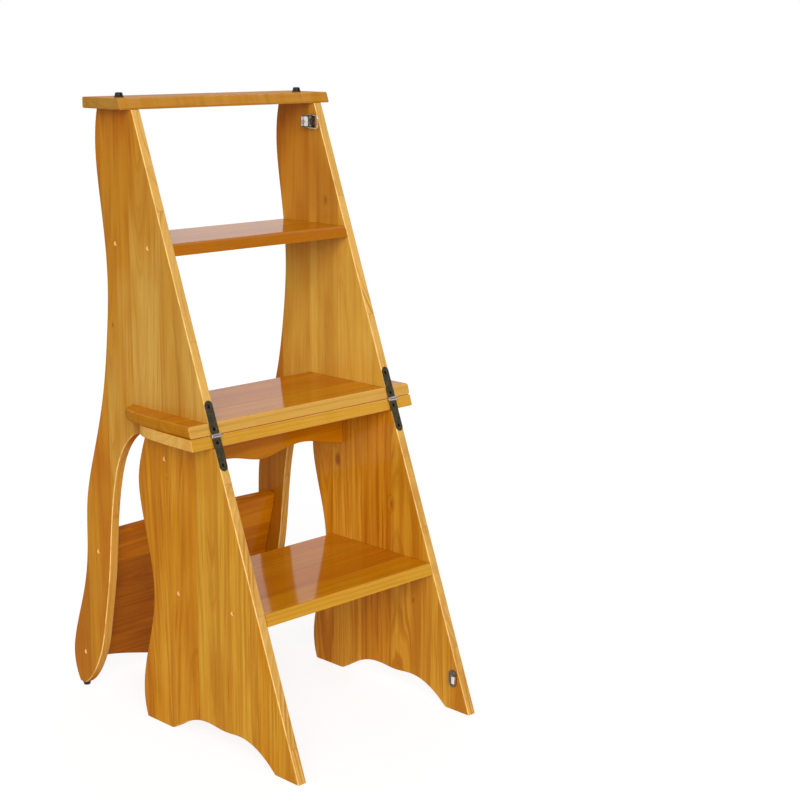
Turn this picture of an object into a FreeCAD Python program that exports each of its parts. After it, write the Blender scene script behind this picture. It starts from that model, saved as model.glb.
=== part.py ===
import FreeCAD, Part
import math
import os
from FreeCAD import Vector

# Folding step stool chair: a wooden ladder chair in two halves. Standing as here, the halves
# make a ladder with four treads. The upper half turns about two hinges at the front edge of
# the seat, forwards and down through half a turn, and the whole is then a chair.
# Millimetres. X runs across the ladder, Y from front to back and Z up from the floor.
# Depths are counted from the hinge line until the last step, which centres the whole.
# Pairs are a depth and a height. A height "below" or "above" something counts from there, and a
# depth "from bumper" counts from the bumper under the post.

# Overall
seat_height = 450.0
width_over_panels = 349.0
panel_thickness = 14.5
toe_reach = 168.0
meeting_gap = 0.3
panel_edge_round = 2.0
wood_ease = 1.5

# How far a cut runs past the wood, and how near two places or two lengths count as the same
overcut = 1.0
same = 1e-6
same_length = 0.01

# Seat boards. The corner's length and middle are counted in widths of the corner.
seat_overhang = 34.0
seat_board_thickness = 16.5
seat_seam_gap = 0.2
seat_front_set = 3.8
seat_front_rake = 0.3
seat_side_taper = 2.0
upper_seat_seam_round = 4.5
upper_seat_top_round = 4.5
lower_seat_seam_round = 2.0
lower_seat_under_round = 1.5
corner_length = 1.55
corner_middle = (0.27, 0.33)
lower_seat_depth = 150.0
lower_seat_corner = 45.0
upper_seat_depth = 177.5
upper_seat_corner = 38.0

# Treads and top board
step_thickness = 16.0
lower_step_height = 216.0
lower_step_inset = 15.2
upper_step_past_waist = 1.2
lower_step_nosing = 2.5
upper_step_nosing = 7.0
top_board_thickness = 15.5
top_board_overhang = 17.0
top_board_rear_overhang = 9.5
top_board_round = 2.0

# Rubber bumpers
bumper_height = 6.5
bumper_base_diameter = 13.6
bumper_tip_diameter = 10.0
bumper_tip_round = 0.8
top_bumper_inset = 28.5
top_bumper_depth = 203.0
post_bumper_depth = 329.0

# Lower panel outline
heel = (165.0, 0.0)
heel_swell = (171.2, 52.0)
calf = (158.0, 111.0)
waist = (141.2, 188.0)
above_waist = (149.5, 257.0)
hip_root_below_seat = (167.0, 124.0)
hip_below_seat = (170.2, 90.0)
hip_top_below_seat = (160.0, 46.0)
rear_foot_front = 103.0
front_foot_back = -118.5
arch = ((-92.0, 18.8), (-68.0, 28.6), (-44.0, 31.4), (-14.0, 29.0), (22.0, 31.0), (52.0, 26.6),
        (77.0, 15.2))

# Upper panel outline, from the head down the back to the foot of the post, and up its front
head_depth = 241.0
head_swell_below_top = (248.0, 62.0)
neck_below_top = (241.0, 126.0)
back_waist_above_seat = (229.8, 190.0)
back_shoulder_above_seat = (236.0, 106.0)
post_root_above_seat = (250.5, 20.0)
post_bend_below_seat = (277.5, 69.0)
post_mid_below_seat = (300.5, 150.0)
post_waist = (305.0, 222.0)
post_swell = (317.0, 160.0)
post_flare_from_bumper = (15.5, 81.0)
post_heel_from_bumper = (20.5, 54.0)
post_heel_turn_from_bumper = (15.5, 22.0)
post_tip_length = 15.0
post_toe_turn_from_bumper = (-25.0, 22.0)
post_toe_from_bumper = (-38.5, 41.0)
front_low_from_bumper = (-53.5, 72.0)
front_flare = (263.5, 120.0)
front_mid = (249.0, 196.0)
front_waist = (242.0, 256.0)
front_bend_past_seat = (51.5, 114.0)
front_neck_past_seat = (31.0, 60.0)
front_root_past_seat = (17.0, 42.0)
front_end_below_seat = 28.4
post_front_clearance = 0.5

# Apron under the seat, a scallop with two lobes
apron_depth = 100.0
apron_thickness = 16.0
apron_end_drop = 67.5
apron_lobe_drop = 52.5
apron_centre_drop = 64.2
apron_lobe_reach = 83.0
apron_round = 2.0

# Backrest board between the posts. Its shoulder and flank are half widths and heights.
backrest_thickness = 16.0
backrest_forward_set = 1.4
backrest_low_fixing = 57.5
backrest_high_fixing = 226.6
backrest_upper_edge = 256.0
backrest_upper_rise = 3.0
backrest_end_edge = 47.0
backrest_shoulder = (112.0, 39.5)
backrest_flank = (64.0, 26.7)
backrest_crest_edge = 15.0
backrest_round = 3.0

# Screws through the panels and the wooden plugs over them
plug_diameter = 7.0
plug_length = 3.6
plug_sink = 0.7
plug_clearance = 0.05
plug_ease = 0.4
panel_screw_head_diameter = 6.4
panel_screw_head_height = 1.7
panel_screw_diameter = 3.8
panel_screw_length = 34.0
lower_step_fixings = (83.0, -35.0)
upper_step_fixings = (206.7, 132.0)
apron_fixing_drop = 51.0

# Dowels between the boards and the ends of the panels
dowel_diameter = 8.0
dowel_length = 26.0
dowel_in_board = 9.5
dowel_clearance = 0.05
dowel_end_gap = 0.5
dowel_ease = 0.8
seat_dowel_depths = (45.0, 115.0)
top_dowel_depths = (185.0, 224.0)

# Strap hinges
leaf_length = 49.0
leaf_width = 13.4
leaf_thickness = 1.8
leaf_sink = 0.1
pocket_clearance = 0.15
knuckle_radius = 3.0
middle_knuckle_width = 5.0
knuckle_gap = 0.15
knuckle_root_gap = 0.6
pin_radius = 1.5
pin_fit = 0.05
pin_head_radius = 2.5
pin_head_thickness = 1.9
leaf_screw_near = 9.5
leaf_screw_far = 40.5
leaf_screw_head_radius = 2.9
leaf_screw_head_height = 1.6
leaf_screw_radius = 1.5
leaf_screw_length = 11.0
leaf_screw_point = 2.0
screw_clearance = 0.05

# Draw latch inside the right upper panel
latch_drop = 49.0
latch_edge_margin = 4.2
latch_plate_length = 20.0
latch_plate_width = 21.0
latch_plate_thickness = 1.2
latch_plate_corner = 3.0
latch_pivot_set = 5.0
latch_pivot_stand = 4.8
ear_radius = 2.5
ear_thickness = 1.2
ear_outer = 6.8
lever_gap = 0.3
lever_sheet = 1.2
lever_flange_radius = 3.1
lever_stand = 3.9
lever_length = 13.5
lever_web_set = 1.8
lever_lip = 2.2
lever_curl = 4.5
lever_cheek = 2.0
lever_tail_width = 1.6
lever_tail_set = 3.5
rivet_radius = 1.2
rivet_head_radius = 1.8
rivet_head_height = 0.4
rivet_fit = 0.05
bail_set = 5.0
bail_stand = 3.7
bail_wire = 1.8
bail_side_gap = 0.4
bail_length = 28.0
bail_tilt = 15.0
bail_bend = 5.0
bail_end_bend = 1.6
bail_fit = 0.08
latch_screw_sets = (8.5, 16.5)
small_head_radius = 2.0
small_head_height = 0.9
small_screw_radius = 1.1
small_screw_length = 8.0

# Strike with its hook, inside the right lower panel
strike_width = 15.0
strike_height = 26.0
strike_corner = 6.5
hook_width = 11.0
hook_stand = 5.2
hook_sheet = 1.2
hook_wire_gap = 0.5
hook_lip = 3.6
hook_round = 0.9
strike_screw_spread = 9.2

# Values that follow from those above
half_width = width_over_panels / 2.0
inner_half = half_width - panel_thickness
panel_middle = half_width - panel_thickness / 2.0
seat_half = half_width + seat_overhang
slope = toe_reach / seat_height
lean = math.degrees(math.atan(slope))
total_height = 2.0 * seat_height
seat_under = seat_height - seat_board_thickness
upper_seat_under = seat_height + seat_seam_gap
seat_over = upper_seat_under + seat_board_thickness
top_over = total_height - bumper_height
top_under = top_over - top_board_thickness
upper_step_height = total_height - lower_step_height + step_thickness
leaf_face = meeting_gap + leaf_sink
leaf_back = leaf_face + leaf_thickness
leaf_root = knuckle_radius + knuckle_root_gap
latch_height = total_height - latch_drop


def diagonal(z):
    """Depth of the sloping front edge of either half at a height."""
    return slope * (z - seat_height) + meeting_gap / math.cos(math.radians(lean))


def above_seat(pair):
    return (pair[0], seat_height + pair[1])


def below_seat(pair):
    return (pair[0], seat_height - pair[1])


def past_seat(pair):
    return (upper_seat_depth + pair[0], seat_height - pair[1])


def below_top(pair):
    return (pair[0], top_under - pair[1])


def from_bumper(pair):
    return (post_bumper_depth + pair[0], pair[1])


def line(a, b):
    return Part.makeLine(a, b)


def ring(corners):
    """Each corner with the next, round to the first."""
    return zip(corners, corners[1:] + corners[:1])


def smooth(places):
    curve = Part.BSplineCurve()
    curve.interpolate(Points=places)
    return curve.toShape()


def side_line(a, b):
    return line(Vector(0, *a), Vector(0, *b))


def side_curve(pairs):
    return smooth([Vector(0, y, z) for y, z in pairs])


def from_side(edges, x_from, x_to):
    """Board of even thickness cut to an outline drawn in the YZ plane."""
    face = Part.Face(Part.Wire(edges))
    face.translate(Vector(x_from, 0, 0))
    return face.extrude(Vector(x_to - x_from, 0, 0))


def turned(edges, axis):
    """Solid turned about an axis through the origin from half a section."""
    return Part.Face(Part.Wire(edges)).revolve(Vector(0, 0, 0), axis, 360)


def mirrored(shape):
    return shape.mirror(Vector(0, 0, 0), Vector(1, 0, 0))


def moved(shape, x, y, z):
    shape = shape.copy()
    shape.translate(Vector(x, y, z))
    return shape


def rounded(solid, radius, wanted):
    return solid.makeFillet(radius, [e for e in solid.Edges if wanted(e)])


def samples(edge):
    first, last = edge.FirstParameter, edge.LastParameter
    return [edge.valueAt(p) for p in (first, (first + last) / 2.0, last)]


def at_x(edge, x):
    return all(abs(p.x - x) < same for p in samples(edge))


def at_y(edge, y):
    return all(abs(p.y - y) < same for p in samples(edge))


def at_z(edge, z):
    return all(abs(p.z - z) < same for p in samples(edge))


def on_side(edge):
    """True for an edge in either face of the left panel."""
    return at_x(edge, -half_width) or at_x(edge, -inner_half)


def across(edge):
    """True for an edge that runs from one panel's face to the other's."""
    return abs(edge.BoundBox.XLength - 2.0 * inner_half) < same_length


def bored(solid, tools):
    for tool in tools:
        solid = solid.cut(tool)
    return one_solid(solid)


def one_solid(shape):
    shape = shape.removeSplitter()
    return shape.Solids[0] if len(shape.Solids) == 1 else shape


# Panels


def lower_panel():
    """Left side of the lower half: two feet with an arch between, a waist and a hip."""
    toe = (diagonal(0.0), 0.0)
    front_top = (diagonal(seat_under), seat_under)
    rear_top = (lower_seat_depth - wood_ease, seat_under)
    rear = [heel, heel_swell, calf, waist, above_waist, below_seat(hip_root_below_seat),
            below_seat(hip_below_seat), below_seat(hip_top_below_seat), rear_top]
    edges = [side_line(toe, (front_foot_back, 0.0)),
             side_curve([(front_foot_back, 0.0)] + list(arch) + [(rear_foot_front, 0.0)]),
             side_line((rear_foot_front, 0.0), heel), side_curve(rear),
             side_line(rear_top, front_top), side_line(front_top, toe)]
    panel = from_side(edges, -half_width, -inner_half)
    return rounded(panel, panel_edge_round, lambda e: on_side(e) and not at_z(e, 0.0)
                   and not at_z(e, seat_under))


def upper_panel():
    """Left side of the upper half, in one piece with the post that runs down behind the seat."""
    tip_back = from_bumper((post_tip_length / 2.0, bumper_height))
    tip_front = from_bumper((-post_tip_length / 2.0, bumper_height))
    notch = (upper_seat_depth + post_front_clearance, seat_over)
    notch_foot = (notch[0], seat_height - front_end_below_seat)
    front_bottom = (diagonal(seat_over), seat_over)
    front_top = (diagonal(top_under), top_under)
    head = (head_depth, top_under)
    rear = [head, below_top(head_swell_below_top), below_top(neck_below_top),
            above_seat(back_waist_above_seat), above_seat(back_shoulder_above_seat),
            above_seat(post_root_above_seat),
            below_seat(post_bend_below_seat), below_seat(post_mid_below_seat), post_waist, post_swell,
            from_bumper(post_flare_from_bumper), from_bumper(post_heel_from_bumper),
            from_bumper(post_heel_turn_from_bumper), tip_back]
    front = [tip_front, from_bumper(post_toe_turn_from_bumper), from_bumper(post_toe_from_bumper),
             from_bumper(front_low_from_bumper), front_flare, front_mid, front_waist,
             past_seat(front_bend_past_seat), past_seat(front_neck_past_seat),
             past_seat(front_root_past_seat), notch_foot]
    edges = [side_line(front_bottom, front_top), side_line(front_top, head), side_curve(rear),
             side_line(tip_back, tip_front), side_curve(front), side_line(notch_foot, notch),
             side_line(notch, front_bottom)]
    panel = from_side(edges, -half_width, -inner_half)
    kept_sharp = (seat_over, top_under, bumper_height)
    return rounded(panel, panel_edge_round, lambda e: on_side(e) and not at_y(e, notch[0])
                   and not any(at_z(e, z) for z in kept_sharp))


# Boards


def tread(top, depth, nosing):
    """Tread between the panels with its front in line with their sloping edges."""
    base = top - step_thickness
    corners = [(diagonal(base), base), (diagonal(top), top), (depth, top), (depth, base)]
    edges = [side_line(a, b) for a, b in ring(corners)]
    board = from_side(edges, -inner_half, inner_half)
    board = rounded(board, nosing, lambda e: across(e) and at_y(e, diagonal(top)))
    return rounded(board, wood_ease, lambda e: across(e) and at_y(e, depth))


def top_board():
    """Highest tread, which caps the panels and hangs over them."""
    half = half_width + top_board_overhang
    depth = head_depth + top_board_rear_overhang
    corners = [(diagonal(top_under), top_under), (diagonal(top_over), top_over), (depth, top_over),
               (depth, top_under)]
    edges = [side_line(a, b) for a, b in ring(corners)]
    return rounded(from_side(edges, -half, half), top_board_round, lambda e: True)


def seat_plan(depth, corner, front, z):
    """Plan of a seat board: a straight front and large soft corners at the back."""
    rear_half = seat_half - seat_side_taper
    side_end = depth - corner_length * corner
    side = Vector(seat_half, side_end / 2.0, z)
    corner_start = Vector(rear_half, side_end, z)
    corner_mid = Vector(rear_half - corner_middle[0] * corner, depth - corner_middle[1] * corner, z)
    corner_end = Vector(rear_half - corner, depth, z)
    curve = Part.BSplineCurve()
    curve.interpolate(Points=[side, corner_start, corner_mid, corner_end],
                      InitialTangent=Vector(0, 1, 0), FinalTangent=Vector(-1, 0, 0))
    right = curve.toShape()
    front_right = Vector(seat_half, front, z)
    front_left = Vector(-seat_half, front, z)
    return Part.Wire([line(front_left, front_right), line(front_right, side), right,
                      line(corner_end, Vector(-corner_end.x, corner_end.y, z)), mirrored(right),
                      line(Vector(-side.x, side.y, z), front_left)])


def seat_board(depth, corner, under, under_round, over_round):
    """Seat board whose front face rakes back with height, set behind the hinge knuckles."""
    over = under + seat_board_thickness
    front_under = seat_front_set + seat_front_rake * (under - seat_height)
    front_over = seat_front_set + seat_front_rake * (over - seat_height)
    blank_front = front_under - overcut
    plan = seat_plan(depth, corner, blank_front, under)
    board = Part.Face(plan).extrude(Vector(0, 0, seat_board_thickness))
    before = blank_front - overcut
    corners = [(front_under, under), (front_over, over), (before, over), (before, under)]
    waste = [side_line(a, b) for a, b in ring(corners)]
    board = board.cut(from_side(waste, -seat_half - overcut, seat_half + overcut))

    def in_front(e):
        return at_y(e, front_under) or at_y(e, front_over)

    board = rounded(board, under_round, lambda e: at_z(e, under) and not in_front(e))
    board = rounded(board, over_round, lambda e: at_z(e, over) and not in_front(e))
    return rounded(board, wood_ease, lambda e: in_front(e) and (at_z(e, under) or at_z(e, over)))


def apron():
    """Rail under the seat, with its lower edge cut in two lobes."""
    half = [(inner_half, apron_end_drop),
            ((inner_half + apron_lobe_reach) / 2.0, (apron_end_drop + apron_lobe_drop) / 2.0),
            (apron_lobe_reach, apron_lobe_drop),
            (apron_lobe_reach / 2.0, (2.0 * apron_lobe_drop + apron_centre_drop) / 3.0)]
    drops = half + [(0.0, apron_centre_drop)] + [(-x, drop) for x, drop in reversed(half)]
    scallop = [Vector(x, apron_depth, seat_under - drop) for x, drop in drops]
    top_left = Vector(-inner_half, apron_depth, seat_under)
    top_right = Vector(inner_half, apron_depth, seat_under)
    wire = Part.Wire([smooth(scallop), line(scallop[-1], top_left), line(top_left, top_right),
                      line(top_right, scallop[0])])
    rail = Part.Face(wire).extrude(Vector(0, apron_thickness, 0))
    return rounded(rail, apron_round, lambda e: across(e) and not at_z(e, seat_under))


def backrest_line():
    """Low and high fixing points of the backrest, midway between the edges of the post."""
    heel_depth, toe_depth = from_bumper(post_heel_from_bumper)[0], from_bumper(post_toe_from_bumper)[0]
    low = ((heel_depth + toe_depth) / 2.0 - backrest_forward_set, backrest_low_fixing)
    high = ((post_waist[0] + front_mid[0]) / 2.0 - backrest_forward_set, backrest_high_fixing)
    return low, high


def backrest():
    """Wide board between the posts. Its lower edge, the crest of the chair, is arched."""
    low, high = backrest_line()
    back_lean = math.atan2(low[0] - high[0], high[1] - low[1])

    def spot(x, z):
        return Vector(x, -backrest_thickness / 2.0, (z - low[1]) / math.cos(back_lean))

    half = [(inner_half, backrest_end_edge), backrest_shoulder, backrest_flank]
    crest = half + [(0.0, backrest_crest_edge)] + [(-x, z) for x, z in reversed(half)]
    upper = [(-inner_half, backrest_upper_edge), (0.0, backrest_upper_edge + backrest_upper_rise),
             (inner_half, backrest_upper_edge)]
    lower_edge, upper_edge = [[spot(x, z) for x, z in places] for places in (crest, upper)]
    wire = Part.Wire([smooth(lower_edge), line(lower_edge[-1], upper_edge[0]), smooth(upper_edge),
                      line(upper_edge[-1], lower_edge[0])])
    board = Part.Face(wire).extrude(Vector(0, backrest_thickness, 0))
    board = rounded(board, backrest_round, across)
    board.rotate(Vector(0, 0, 0), Vector(1, 0, 0), math.degrees(back_lean))
    return moved(board, 0, *low)


# Screws, plugs and dowels


def plug():
    """Wooden plug that closes a screw hole from the left, with a softened face."""
    body = Part.makeCylinder(plug_diameter / 2.0, plug_length, Vector(plug_sink, 0, 0), Vector(1, 0, 0))
    return body.makeChamfer(plug_ease, [e for e in body.Edges if at_x(e, plug_sink)])


def panel_screw():
    """Flat headed screw under the plug, through the panel into the end of a board."""
    crown = plug_sink + plug_length
    seat = crown + panel_screw_head_height
    head, shank = panel_screw_head_diameter / 2.0, panel_screw_diameter / 2.0
    tip = seat + panel_screw_length
    points = [(crown, 0.0), (crown, head), (seat, head), (seat, shank), (tip - 2.0 * shank, shank),
              (tip, 0.0)]
    corners = [Vector(x, 0, z) for x, z in points]
    return turned([line(a, b) for a, b in ring(corners)], Vector(1, 0, 0))


def fixing_hole():
    """Hole for a panel screw and its plug, open to the outside of the left panel."""
    seat = plug_sink + plug_length + panel_screw_head_height
    wide = Part.makeCylinder(plug_diameter / 2.0 + plug_clearance, seat + overcut,
                             Vector(-overcut, 0, 0), Vector(1, 0, 0))
    narrow = Part.makeCylinder(panel_screw_diameter / 2.0 + screw_clearance,
                               panel_screw_length + dowel_end_gap, Vector(seat, 0, 0), Vector(1, 0, 0))
    return wide.fuse(narrow)


def at_fixings(piece, fixings):
    """Copies of a piece at depth and height pairs, on the left and mirrored to the right."""
    left = [moved(piece, -half_width, y, z) for y, z in fixings]
    return left + [mirrored(p) for p in left]


def dowel(base_z):
    body = Part.makeCylinder(dowel_diameter / 2.0, dowel_length, Vector(0, 0, base_z))
    rims = [e for e in body.Edges if at_z(e, base_z) or at_z(e, base_z + dowel_length)]
    return body.makeChamfer(dowel_ease, rims)


def dowel_hole(base_z):
    return Part.makeCylinder(dowel_diameter / 2.0 + dowel_clearance, dowel_length + 2.0 * dowel_end_gap,
                             Vector(0, 0, base_z - dowel_end_gap))


def at_dowels(piece, depths):
    return [moved(piece, side * panel_middle, y, 0) for side in (-1, 1) for y in depths]


# Bumpers


def bumper():
    body = Part.makeCone(bumper_base_diameter / 2.0, bumper_tip_diameter / 2.0, bumper_height)
    return rounded(body, bumper_tip_round, lambda e: at_z(e, bumper_height))


def top_bumpers():
    x = half_width + top_board_overhang - top_bumper_inset
    return [moved(bumper(), side * x, top_bumper_depth, top_over) for side in (-1, 1)]


def post_bumpers():
    body = bumper()
    body.rotate(Vector(0, 0, 0), Vector(1, 0, 0), 180)
    return [moved(body, side * panel_middle, post_bumper_depth, bumper_height) for side in (-1, 1)]


# Hinges, drawn upright about the hinge line; up is 1 for the upper leaf and -1 for the lower


def leaned(shape, x):
    """Tips a hinge piece to the slope of the front edges and puts it in its place."""
    shape = shape.copy()
    shape.rotate(Vector(0, 0, 0), Vector(1, 0, 0), -lean)
    return moved(shape, x, 0, seat_height)


def strap(up, grow, front):
    """Strap with a round end, from its root beside the knuckle."""
    half = leaf_width / 2.0 + grow
    straight = up * (leaf_length - leaf_width / 2.0)
    root = up * (leaf_root - grow)
    a, b = Vector(-half, front, root), Vector(-half, front, straight)
    c, d = Vector(half, front, straight), Vector(half, front, root)
    end = Part.Arc(b, Vector(0, front, straight + up * half), c).toShape()
    outline = Part.Wire([line(a, b), end, line(c, d), line(d, a)])
    return Part.Face(outline).extrude(Vector(0, leaf_back - front, 0))


def leaf_pocket(up):
    return strap(up, pocket_clearance, -2.0 * knuckle_radius)


def leaf_screw(place, grow):
    """Countersunk screw, or the hole for it when grown."""
    head, shank = leaf_screw_head_radius + grow, leaf_screw_radius + grow
    tip = leaf_screw_length + grow
    points = [(0.0, 0.0), (head, 0.0), (shank, leaf_screw_head_height),
              (shank, tip - leaf_screw_point), (0.0, tip)]
    corners = [Vector(x, y, 0) for x, y in points]
    body = turned([line(a, b) for a, b in ring(corners)], Vector(0, 1, 0))
    if grow > 0.0:
        entry = Part.makeCylinder(head, leaf_thickness, Vector(0, -leaf_thickness, 0), Vector(0, 1, 0))
        body = body.fuse(entry)
    return moved(body, 0, leaf_face + leaf_sink, place)


def leaf_screws(up, grow=0.0):
    return [leaf_screw(up * place, grow) for place in (leaf_screw_near, leaf_screw_far)]


def hinge_leaf(up):
    """One leaf: the upper one has the middle knuckle, the lower one the two outer ones."""
    half, middle = leaf_width / 2.0, middle_knuckle_width / 2.0
    outer = [(-half, -middle - knuckle_gap), (middle + knuckle_gap, half)]
    spans = [(-middle, middle)] if up > 0 else outer
    leaf = strap(up, 0.0, leaf_face)
    for start, end in spans:
        barrel = Part.makeCylinder(knuckle_radius, end - start, Vector(start, 0, 0), Vector(1, 0, 0))
        tongue = Part.makeBox(end - start, leaf_thickness, leaf_root,
                              Vector(start, leaf_face, min(0.0, up * leaf_root)))
        leaf = leaf.fuse(barrel).fuse(tongue)
    bore = Part.makeCylinder(pin_radius + pin_fit, 2.0 * leaf_width, Vector(-leaf_width, 0, 0),
                             Vector(1, 0, 0))
    return bored(leaf, [bore] + leaf_screws(up, screw_clearance))


def hinge_pin():
    half = leaf_width / 2.0 + knuckle_gap
    pin = Part.makeCylinder(pin_radius, 2.0 * half, Vector(-half, 0, 0), Vector(1, 0, 0))
    head = Part.makeCylinder(pin_head_radius, pin_head_thickness, Vector(half, 0, 0), Vector(1, 0, 0))
    head = rounded(head, pin_head_thickness / 2.0, lambda e: at_x(e, half + pin_head_thickness))
    return one_solid(pin.fuse(head).fuse(mirrored(head)))


def on_hinges(pieces):
    return [leaned(piece, side * panel_middle) for side in (-1, 1) for piece in pieces]


# Draw latch, drawn with the panel's face at x = 0, free space towards -X, its middle at z = 0

latch_front = diagonal(latch_height + latch_plate_width / 2.0) + latch_edge_margin
pivot = Vector(-latch_pivot_stand, latch_front + latch_pivot_set, 0)
bail_pivot = Vector(-bail_stand, pivot.y + bail_set, 0)
flange_inner = ear_outer + lever_gap
flange_outer = flange_inner + lever_sheet
bail_leg = flange_outer + bail_side_gap + bail_wire / 2.0


def plate(front, length, height, corner):
    """Flat plate with round corners, laid on the panel's face."""
    body = Part.makeBox(latch_plate_thickness, length, height,
                        Vector(-latch_plate_thickness, front, -height / 2.0))
    return rounded(body, corner, lambda e: abs(e.BoundBox.XLength - latch_plate_thickness) < same_length)


def through(place, radius):
    """Long rod along Z through a place, for boring pivot holes."""
    reach = 2.0 * flange_outer
    return Part.makeCylinder(radius, 2.0 * reach, Vector(place.x, place.y, -reach))


def small_screw(y, z, grow=0.0):
    """Round headed screw that holds a latch plate to the panel, or its hole when grown."""
    head, tall, shank = small_head_radius, small_head_height, small_screw_radius + grow
    crown, brim = Vector(-tall, 0, 0), Vector(0, 0, head)
    tip = Vector(small_screw_length, 0, 0)
    ball = (head ** 2 + tall ** 2) / (2.0 * tall)
    half_way = math.asin(head / ball) / 2.0
    middle = Vector(ball - tall - ball * math.cos(half_way), 0, ball * math.sin(half_way))
    dome = Part.Arc(crown, middle, brim).toShape()
    root, shoulder = Vector(0, 0, shank), Vector(small_screw_length - shank, 0, shank)
    body = turned([dome, line(brim, root), line(root, shoulder), line(shoulder, tip), line(tip, crown)],
                  Vector(1, 0, 0))
    return moved(body, -latch_plate_thickness, y, z)


def latch_screws(grow=0.0):
    return [small_screw(latch_front + s, 0.0, grow) for s in latch_screw_sets]


def latch_plate():
    """Plate with two upright ears that carry the lever's rivets."""
    body = plate(latch_front, latch_plate_length, latch_plate_width, latch_plate_corner)
    for z in (-ear_outer, ear_outer - ear_thickness):
        disc = Part.makeCylinder(ear_radius, ear_thickness, Vector(pivot.x, pivot.y, z))
        stalk = Part.makeBox(latch_pivot_stand, 2.0 * ear_radius, ear_thickness,
                             Vector(pivot.x, pivot.y - ear_radius, z))
        body = body.fuse(disc).fuse(stalk)
    return bored(body, [through(pivot, rivet_radius + rivet_fit)] + latch_screws(screw_clearance))


def latch_lever():
    """Bent sheet lever: two flanges on the rivets, a web over them and a curled lip."""
    web, radius = pivot.x - lever_stand, lever_flange_radius
    start, tail = pivot.y + lever_web_set, pivot.y + lever_length
    curl_start, tail_end = tail - lever_curl, tail - lever_tail_set
    curl_radius = (lever_lip ** 2 + lever_curl ** 2) / (2.0 * lever_lip)
    curl_turn = 2.0 * math.atan(lever_lip / lever_curl)

    def on_curl(inset, share):
        angle, reach = share * curl_turn, curl_radius + inset
        return Vector(web - curl_radius + reach * math.cos(angle), curl_start + reach * math.sin(angle),
                      -flange_outer)

    def flange(z):
        neck, under = Vector(pivot.x - radius, pivot.y, z), Vector(pivot.x + radius, pivot.y, z)
        run = Vector(under.x, bail_pivot.y + lever_cheek, z)
        low, high = Vector(web + lever_tail_width, tail_end, z), Vector(web, tail_end, z)
        web_corner = Vector(web, start, z)
        nose = Part.Arc(neck, Vector(pivot.x, pivot.y - radius, z), under).toShape()
        edges = [line(web_corner, neck), nose, line(under, run), line(run, low), line(low, high),
                 line(high, web_corner)]
        return Part.Face(Part.Wire(edges)).extrude(Vector(0, 0, lever_sheet))

    outside, inside = [[on_curl(inset, share) for share in (0.0, 0.5, 1.0)]
                       for inset in (0.0, lever_sheet)]
    front, back = Vector(web, start, -flange_outer), Vector(web + lever_sheet, start, -flange_outer)
    edges = [line(front, outside[0]), Part.Arc(*outside).toShape(), line(outside[2], inside[2]),
             Part.Arc(*inside).toShape(), line(inside[0], back), line(back, front)]
    lever = Part.Face(Part.Wire(edges)).extrude(Vector(0, 0, 2.0 * flange_outer))
    lever = lever.fuse(flange(-flange_outer)).fuse(flange(flange_inner))
    return bored(lever, [through(pivot, rivet_radius + rivet_fit),
                         through(bail_pivot, bail_wire / 2.0 + bail_fit)])


def latch_rivets():
    """Two rivets, each through an ear and the lever's flange, with a head inside the ear."""
    start, end = ear_outer - ear_thickness - rivet_head_height, flange_outer + bail_side_gap / 2.0
    shank = Part.makeCylinder(rivet_radius, end - start, Vector(pivot.x, pivot.y, start))
    head = Part.makeCylinder(rivet_head_radius, rivet_head_height, Vector(pivot.x, pivot.y, start))
    rivet = one_solid(shank.fuse(head))
    return [rivet, rivet.mirror(Vector(0, 0, 0), Vector(0, 0, 1))]


def latch_bail():
    """Wire loop whose ends turn in through the lever's flanges."""
    tilt = math.radians(bail_tilt)
    ahead = Vector(-math.sin(tilt), -math.cos(tilt), 0)

    def spot(along, z):
        place = bail_pivot + ahead * along
        return Vector(place.x, place.y, z)

    def bend(along, z, start, end, radius):
        angles = [math.radians(a) for a in (start, (start + end) / 2.0, end)]
        arc = [spot(along + radius * math.cos(a), z + radius * math.sin(a)) for a in angles]
        return Part.Arc(*arc).toShape()

    turn_in = flange_inner + knuckle_gap
    near, far = bail_end_bend, bail_length - bail_bend
    at_near, at_far = bail_leg - near, bail_leg - bail_bend
    path = [line(spot(0, turn_in), spot(0, at_near)), bend(near, at_near, 180, 90, near),
            line(spot(near, bail_leg), spot(far, bail_leg)), bend(far, at_far, 90, 0, bail_bend),
            line(spot(bail_length, at_far), spot(bail_length, -at_far)),
            bend(far, -at_far, 0, -90, bail_bend),
            line(spot(far, -bail_leg), spot(near, -bail_leg)), bend(near, -at_near, -90, -180, near),
            line(spot(0, -at_near), spot(0, -turn_in))]
    section = Part.Wire(Part.makeCircle(bail_wire / 2.0, spot(0, turn_in), Vector(0, 0, 1)))
    return one_solid(Part.Wire(path).makePipeShell([section], True, False))


# Strike, drawn where the latch meets it when the halves lie together

hook_front = bail_pivot.y - bail_length + bail_wire / 2.0 + hook_wire_gap
strike_front = hook_front + hook_sheet - strike_width


def strike_screws(grow=0.0):
    y = strike_front + strike_width / 2.0
    return [small_screw(y, side * strike_screw_spread, grow) for side in (-1, 1)]


def strike():
    """Plate with a hook that stands up behind the loop's end and turns over it."""
    body = plate(strike_front, strike_width, strike_height, strike_corner)
    root, tip = -latch_plate_thickness / 2.0, -latch_plate_thickness - hook_stand
    back, under = hook_front + hook_sheet, tip + hook_sheet
    outline = [(root, hook_front), (under, hook_front), (under, hook_front - hook_lip),
               (tip, hook_front - hook_lip), (tip, back), (root, back)]
    corners = [Vector(x, y, 0) for x, y in outline]
    section = Part.Face(Part.Wire([line(a, b) for a, b in ring(corners)]))
    hook = section.extrude(Vector(0, 0, hook_width))
    hook = rounded(hook, hook_round, lambda e: at_x(e, tip) and at_y(e, back))
    body = body.fuse(moved(hook, 0, 0, -hook_width / 2.0))
    return bored(body, strike_screws(screw_clearance))


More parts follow.
